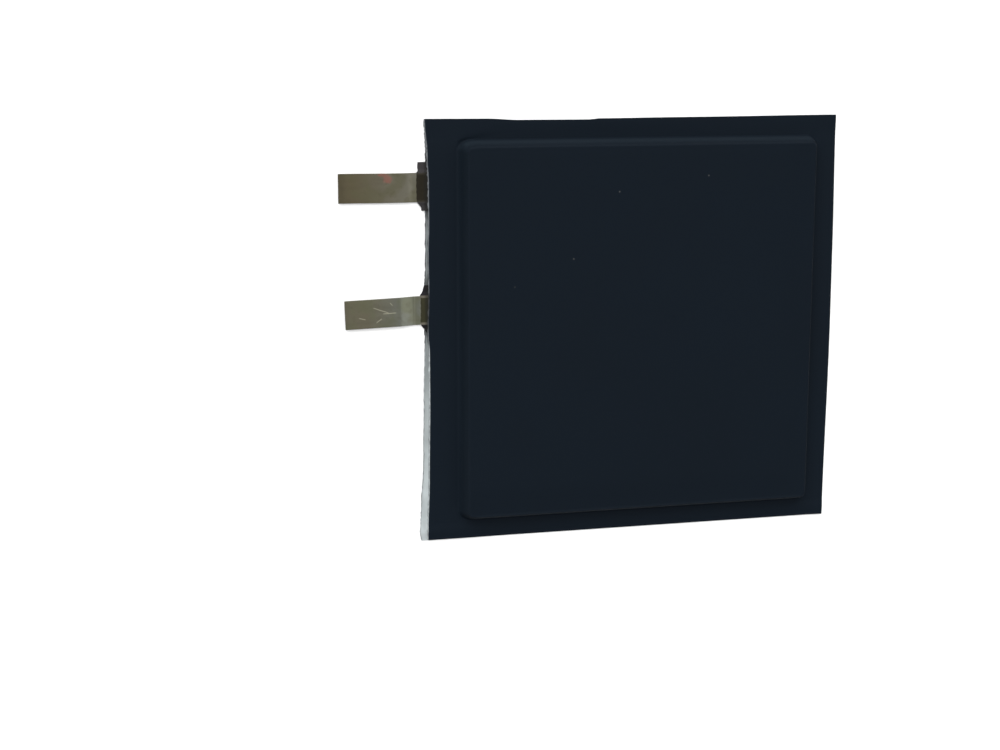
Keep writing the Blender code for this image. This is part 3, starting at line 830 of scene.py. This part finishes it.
def add_tab(name, low_x, high_x, middle_y, bottom):
    """A thin strip along X, cut across so that it can be bent, more finely at the bends."""
    deselect()
    middle = ((low_x + high_x) / 2, middle_y, bottom + TAB_THICKNESS / 2)
    bpy.ops.mesh.primitive_cube_add(size=1, location=middle, scale=(high_x - low_x, TAB_WIDTH, TAB_THICKNESS))
    tab = bpy.context.object
    tab.name = tab.data.name = name
    bpy.ops.object.transform_apply(location=True, rotation=True, scale=True)
    bpy.ops.object.mode_set(mode="EDIT")
    cuts = lines((low_x, BEND_ZONE[0], 0.5 * MM), (*BEND_ZONE, 0.15 * MM), (BEND_ZONE[1], high_x, 0.5 * MM))
    for x in cuts[1:-1]:
        bpy.ops.mesh.select_all(action="SELECT")
        bpy.ops.mesh.bisect(plane_co=(x, 0, 0), plane_no=(1, 0, 0))
    for share in (-0.3, 0.0, 0.3):
        bpy.ops.mesh.select_all(action="SELECT")
        bpy.ops.mesh.bisect(plane_co=(0, middle_y + share * TAB_WIDTH, 0), plane_no=(0, 1, 0))
    bpy.ops.object.mode_set(mode="OBJECT")
    return tab


def free_share(x):
    """0 where the pouch grips a tab, 1 along its free length."""
    return 1 - smooth((x - POUCH_EDGE + 2.4 * MM) / (3 * MM))


def round_tab(tab, material, slot, node):
    """Rounds the strip's sheared edges and gives them their own finish, darker partly as painted shade."""
    tab.data.materials.append(material)
    tab.data.materials.append(sheared_edge_shade_finish(f"{node}_sheared_edge"))
    give_edge(tab, "sheared edge")
    settle(tab)
    for face in tab.data.polygons:
        is_rolled = abs(face.normal.z) >= 0.9
        face.material_index = FACE_SLOT if is_rolled else SHEARED_SLOT
    smooth_shade(tab, TAB_CREASE)
    finish_piece(tab, "root", slot, node)


def add_positive_tab(look):
    """The upper strip: straight, with a small set near the pouch."""
    tab = add_tab("positive_tab_strip", TAB_LOW.x, TAB_HIGH.x, POSITIVE_Y, TAB_LOW.z)
    points = read_points(tab)
    x = points[:, 0]
    free = free_share(x)
    ripple = free * 0.02 * MM * np.sin(x / MM / 2.6)
    points[:, 2] += POSITIVE_SET * smooth((POSITIVE_SET_START - x) / POSITIVE_SET_RUN) + ripple
    points[:, 1] += free * 0.03 * MM * np.sin(x / MM / 3.0)
    write_points(tab, points)
    round_tab(tab, positive_tab_finish(look), "positive_tab_metal", "positive_tab")


def add_negative_tab(look):
    """The lower strip: modelled straight, stepped by its joggle, then turned a little in its own plane."""
    low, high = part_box("negative_tab")
    tip = low.x + 0.08 * MM  # the turn carries a corner of the tip further out
    tab = add_tab("negative_tab_strip", tip, high.x, NEGATIVE_Y, TAB_LOW.z)
    points = read_points(tab)
    x, y = points[:, 0].copy(), points[:, 1].copy()
    height = high.z - TAB_LOW.z - TAB_THICKNESS
    share = np.clip((look.joggle_start - x) / look.joggle_run, 0, 1)
    ramp = share * 0.75 + smooth(share) * 0.25
    points[:, 2] += ramp * height + free_share(x) * 0.02 * MM * np.sin(x / MM / 1.9)
    turn = look.tab_turn * smooth((POUCH_EDGE + 4 * MM - x) / (5 * MM))
    reach = x - POUCH_EDGE
    points[:, 0] = POUCH_EDGE + reach * np.cos(turn) - (y - NEGATIVE_Y) * np.sin(turn)
    points[:, 1] = NEGATIVE_Y + reach * np.sin(turn) + (y - NEGATIVE_Y) * np.cos(turn)
    write_points(tab, points)
    round_tab(tab, negative_tab_finish(look), "negative_tab_metal", "negative_tab")


def add_sealant(name, middle_y, outline, is_front, material, node):
    """One strip of tab film; the front one drapes over the tab down to the back one."""
    half_tab = TAB_WIDTH / 2
    across = lines(
        (-SEALANT_HALF, -half_tab - 0.5 * MM, 0.1 * MM),
        (-half_tab - 0.5 * MM, -half_tab + 0.4 * MM, 0.06 * MM),
        (-half_tab + 0.4 * MM, half_tab - 0.4 * MM, 0.3 * MM),
        (half_tab - 0.4 * MM, half_tab + 0.5 * MM, 0.06 * MM),
        (half_tab + 0.5 * MM, SEALANT_HALF, 0.1 * MM),
    )
    strip = add_grid(name, lines((POUCH_EDGE, SEALANT_ROOT, 0.4 * MM)), across + middle_y)
    points = read_points(strip)
    x, y = points[:, 0].copy(), points[:, 1] - middle_y
    outward = np.interp(y / MM, *zip(*outline)) * MM + 0.03 * MM * np.sin(y / MM * 6.0)
    reach = (SEALANT_ROOT - x) / (SEALANT_ROOT - POUCH_EDGE)
    points[:, 0] -= outward * reach**3
    points[:, 1] += 0.3 * MM * np.clip((y / MM - 3.2) / 0.8, 0, 1)
    top = BACK_SEALANT_LOW + SEALANT_THICKNESS
    if is_front:
        over_tab = band(y, 0, half_tab + 0.05 * MM, 0.6 * MM)
        top = top + LAYER_GAP + SEALANT_THICKNESS + (TAB_THICKNESS + LAYER_GAP) * over_tab
    points[:, 2] = top
    write_points(strip, points)
    strip.data.materials.append(material)
    give_wall(strip, SEALANT_THICKNESS)
    give_edge(strip, "melted rim")
    settle(strip)
    smooth_shade(strip, SEALANT_CREASE)
    finish_piece(strip, "root", "sealant", node)


# Operators


def look_of(context):
    return context.scene.pouch_cell_look


class POUCH_OT_films(bpy.types.Operator):
    """Model the formed front film and the flat back film"""

    bl_idname = "pouch_cell.films"
    bl_label = "Pouch Films"

    def execute(self, context):
        add_formed_film(look_of(context))
        add_back_sheet(look_of(context))
        return {"FINISHED"}


class POUCH_OT_tabs(bpy.types.Operator):
    """Model the positive and the negative tab"""

    bl_idname = "pouch_cell.tabs"
    bl_label = "Tabs"

    def execute(self, context):
        add_positive_tab(look_of(context))
        add_negative_tab(look_of(context))
        return {"FINISHED"}


class POUCH_OT_sealant(bpy.types.Operator):
    """Model the two strips of tab film on each tab"""

    bl_idname = "pouch_cell.sealant"
    bl_label = "Tab Sealant"

    def execute(self, context):
        look = look_of(context)
        for tab, middle_y, outline, colours, edge_share in (
            ("positive", POSITIVE_Y, POSITIVE_OUTLINE, (look.positive_film, look.positive_ear), 0.1),
            ("negative", NEGATIVE_Y, NEGATIVE_OUTLINE, (look.negative_film, look.negative_ear), 0.9),
        ):
            material = sealant_finish(f"{tab}_tab_film", look, middle_y, *colours, edge_share)
            for side in ("front", "back"):
                name, node = f"{tab}_tab_film_{side}", f"{tab}_sealant_{side}"
                add_sealant(name, middle_y, outline, side == "front", material, node)
        return {"FINISHED"}


class POUCH_OT_stack(bpy.types.Operator):
    """Give the electrodes, the separator and the tapes inside the pouch their finishes"""

    bl_idname = "pouch_cell.stack"
    bl_label = "Electrode Stack"

    def execute(self, context):
        look = look_of(context)
        anode_edge = -25.6 * MM  # where the coating ends and the bare tail begins
        cathode_edge = anode_edge + 0.5 * MM
        finishes = {
            "cathode": coating_finish(
                "cathode_sheet", look.cathode_colour, look.aluminium_foil, cathode_edge, 0.3 * MM
            ),
            "anode": coating_finish("anode_sheet", look.anode_colour, look.copper_foil, anode_edge, 0.2 * MM),
            "separator": separator_finish(look),
            "stack_tape": tape_finish("stack_tape", look.stack_tape_colour),
            "weld_tape": tape_finish("weld_tape", look.weld_tape_colour),
        }
        slots = {row["node"]: row["material_slot"] for row in frame["record"]["subparts"]}
        for name, node in frame["nodes"].items():
            if slots[name] in finishes:
                node.data.materials.clear()
                node.data.materials.append(finishes[slots[name]])
        return {"FINISHED"}


class POUCH_OT_stage(bpy.types.Operator):
    """Set out the floor, the lights, the surroundings and the camera"""

    bl_idname = "pouch_cell.stage"
    bl_label = "Stage"

    def execute(self, context):
        look = look_of(context)
        add_floor(look)
        add_sun("main_light", look.main_strength, *MAIN_LIGHT)
        add_sun("low_light", look.low_strength, *LOW_LIGHT)
        add_sun("accent_light", look.accent_strength, *ACCENT_LIGHT)
        add_surroundings(look)
        add_camera()
        return {"FINISHED"}


def add_floor(look):
    deselect()
    bpy.ops.mesh.primitive_plane_add(size=FLOOR_SIZE, location=FLOOR_PLACE)
    floor = bpy.context.object
    floor.name = "floor"
    floor.data.materials.append(floor_finish(look))
    settle(floor)


def add_sun(name, strength, place, angle):
    """A soft parallel light that shines from `place` towards the cell."""
    deselect()
    bpy.ops.object.light_add(type="SUN", location=place)
    sun = bpy.context.object
    sun.name = name
    sun.data.energy = strength
    sun.data.angle = math.radians(angle)
    sun.rotation_euler = Vector(place).to_track_quat("Z", "Y").to_euler()


def add_surroundings(look):
    """A pale surround, dimmer near the horizon except on the +Y side, and white where the camera sees it."""
    world = bpy.data.worlds.new("surroundings")
    bpy.context.scene.world = world
    world.use_nodes = True
    nodes, links = world.node_tree.nodes, world.node_tree.links
    direction = nodes.new("ShaderNodeTexCoord")
    parts = nodes.new("ShaderNodeSeparateXYZ")
    links.new(direction.outputs["Generated"], parts.inputs[0])

    def ramp(source, start, end, first, last):
        node = nodes.new("ShaderNodeMapRange")
        node.interpolation_type = "SMOOTHSTEP"
        for socket, value in zip(node.inputs[1:5], (start, end, first, last)):
            if isinstance(value, bpy.types.NodeSocket):
                links.new(value, socket)
            else:
                socket.default_value = value
        links.new(source, node.inputs[0])
        return node.outputs[0]

    low = ramp(parts.outputs["Y"], 0.2, 0.9, look.horizon_strength, look.far_strength)
    strength = ramp(parts.outputs["Z"], 0.1, 0.75, low, look.overhead_strength)
    seen = nodes.new("ShaderNodeLightPath").outputs["Is Camera Ray"]
    backdrop = ramp(seen, 0.0, 1.0, strength, 1.0)
    background = nodes["Background"]
    background.inputs["Color"].default_value = (1, 1, 1, 1)
    links.new(backdrop, background.inputs["Strength"])


def add_camera():
    deselect()
    bpy.ops.object.camera_add(location=CAMERA_PLACE)
    camera = bpy.context.object
    camera.name = "camera"
    back = (CAMERA_PLACE - CAMERA_AIM).normalized()
    right = Vector((0, 1, 0)).cross(back).normalized()
    up = back.cross(right)
    rotation = camera.matrix_world.to_3x3()
    rotation.col[0], rotation.col[1], rotation.col[2] = right, up, back
    camera.rotation_euler = rotation.to_euler()
    camera.data.lens = CAMERA_LENS
    camera.data.sensor_width = 36
    camera.data.clip_start = 0.01
    camera.data.clip_end = 20
    bpy.context.scene.camera = camera
    bpy.context.scene.view_settings.view_transform = "Standard"


class POUCH_PT_panel(bpy.types.Panel):
    """The cell's build steps and its settings"""

    bl_idname = "POUCH_PT_panel"
    bl_label = "Pouch Cell"
    bl_space_type = "VIEW_3D"
    bl_region_type = "UI"
    bl_category = "Pouch Cell"

    def draw(self, context):
        for step in STEPS:
            self.layout.operator(step.bl_idname)
        for name in LookSettings.__annotations__:
            self.layout.prop(look_of(context), name)


def colour_setting(name, description, default):
    return FloatVectorProperty(
        name=name, description=description, default=default, subtype="COLOR", size=3, min=0, max=1
    )


def number_setting(name, description, default, **options):
    return FloatProperty(name=name, description=description, default=default, **options)


class LookSettings(bpy.types.PropertyGroup):
    """The colours, sizes and lights that a user would change."""

    laminate_colour: colour_setting("Laminate", "Outer nylon face", (0.0032, 0.0062, 0.0104))
    # the drawn wall's colour: partly the stretched nylon's own lighter tone, partly painted highlight on the
    # cup's wall
    drawn_highlight_colour: colour_setting("Drawn wall", "Nylon that the press has stretched", (0.0082, 0.0130, 0.0186))
    laminate_roughness: number_setting("Laminate roughness", "Mean of the nylon face", 0.7, min=0, max=1)
    weave_pitch: number_setting("Seal weave", "Pitch of the weave in the seal", 0.7 * MM, unit="LENGTH")
    dust_colour: colour_setting("Dust", "Specks on the nylon face", (0.16, 0.16, 0.15))
    inner_face_colour: colour_setting("Inner face", "Silvery inner face of the laminate", (0.55, 0.60, 0.61))
    cut_edge_colour: colour_setting("Cut edge", "Aluminium core of the laminate", (0.14, 0.15, 0.16))
    positive_end: colour_setting("Positive tab, end", "Warm tone at the free end", (0.115, 0.098, 0.062))
    positive_root: colour_setting("Positive tab, root", "Greyer tone near the pouch", (0.187, 0.180, 0.144))
    negative_end: colour_setting("Negative tab, end", "Warm tone at the free end", (0.155, 0.143, 0.100))
    negative_root: colour_setting("Negative tab, root", "Greyer tone near the pouch", (0.172, 0.180, 0.152))
    ink_colour: colour_setting("Ink", "Smear of marking ink", (0.30, 0.07, 0.06))
    scratch_colour: colour_setting("Scratch", "Bright metal in a scratch", (0.50, 0.48, 0.36))
    joggle_start: number_setting("Joggle start", "X where the step begins", -39.85 * MM, unit="LENGTH")
    joggle_run: number_setting("Joggle run", "Length of the step's slope", 2.35 * MM, unit="LENGTH")
    tab_turn: number_setting("Tab turn", "Of the lower tab in its plane", math.radians(1.8), subtype="ANGLE")
    positive_film: colour_setting("Positive tab film", "Over the metal", (0.0105, 0.0085, 0.0043))
    positive_ear: colour_setting("Positive tab film, ears", "Beside the metal", (0.027, 0.025, 0.026))
    negative_film: colour_setting("Negative tab film", "Over the metal", (0.0235, 0.0225, 0.0108))
    negative_ear: colour_setting("Negative tab film, ears", "Beside the metal", (0.008, 0.007, 0.009))
    sealant_edge: colour_setting("Sealant edge", "Tab film over the metal's edge", (0.11, 0.10, 0.08))
    cathode_colour: colour_setting("Cathode", "Cathode coating", (0.030, 0.030, 0.034))
    anode_colour: colour_setting("Anode", "Graphite coating", (0.055, 0.056, 0.060))
    aluminium_foil: colour_setting("Aluminium foil", "Cathode foil", (0.80, 0.80, 0.81))
    copper_foil: colour_setting("Copper foil", "Anode foil", (0.80, 0.42, 0.26))
    separator_colour: colour_setting("Separator", "Porous separator", (0.86, 0.87, 0.86))
    stack_tape_colour: colour_setting("Stack tape", "Tape round the stack", (0.05, 0.33, 0.13))
    weld_tape_colour: colour_setting("Weld tape", "Tape over the welds", (0.60, 0.27, 0.04))
    floor_colour: colour_setting("Floor", "Pale floor", (0.93, 0.93, 0.93))
    main_strength: number_setting("Main light", "Strength of the main light", 2.6, min=0)
    low_strength: number_setting("Low light", "Strength of the low +Y light", 2.0, min=0)
    accent_strength: number_setting("Accent light", "Strength of the light in the tabs", 0.42, min=0)
    overhead_strength: number_setting("Overhead", "Brightness of the surround overhead", 0.5, min=0)
    horizon_strength: number_setting("Horizon", "Brightness of the surround near the horizon", 0.3, min=0)
    far_strength: number_setting("Far side", "The same on the +Y side", 0.8, min=0)


STEPS = (POUCH_OT_films, POUCH_OT_tabs, POUCH_OT_sealant, POUCH_OT_stack, POUCH_OT_stage)
CLASSES = (LookSettings, *STEPS, POUCH_PT_panel)


def register():
    for cls in CLASSES:
        bpy.utils.register_class(cls)
    bpy.types.Scene.pouch_cell_look = PointerProperty(type=LookSettings)


def unregister():
    del bpy.types.Scene.pouch_cell_look
    for cls in reversed(CLASSES):
        bpy.utils.unregister_class(cls)


def main():
    register()
    bpy.ops.pouch_cell.films()
    bpy.ops.pouch_cell.tabs()
    bpy.ops.pouch_cell.sealant()
    bpy.ops.pouch_cell.stack()
    bpy.ops.pouch_cell.stage()


if __name__ == "__main__":
    main()
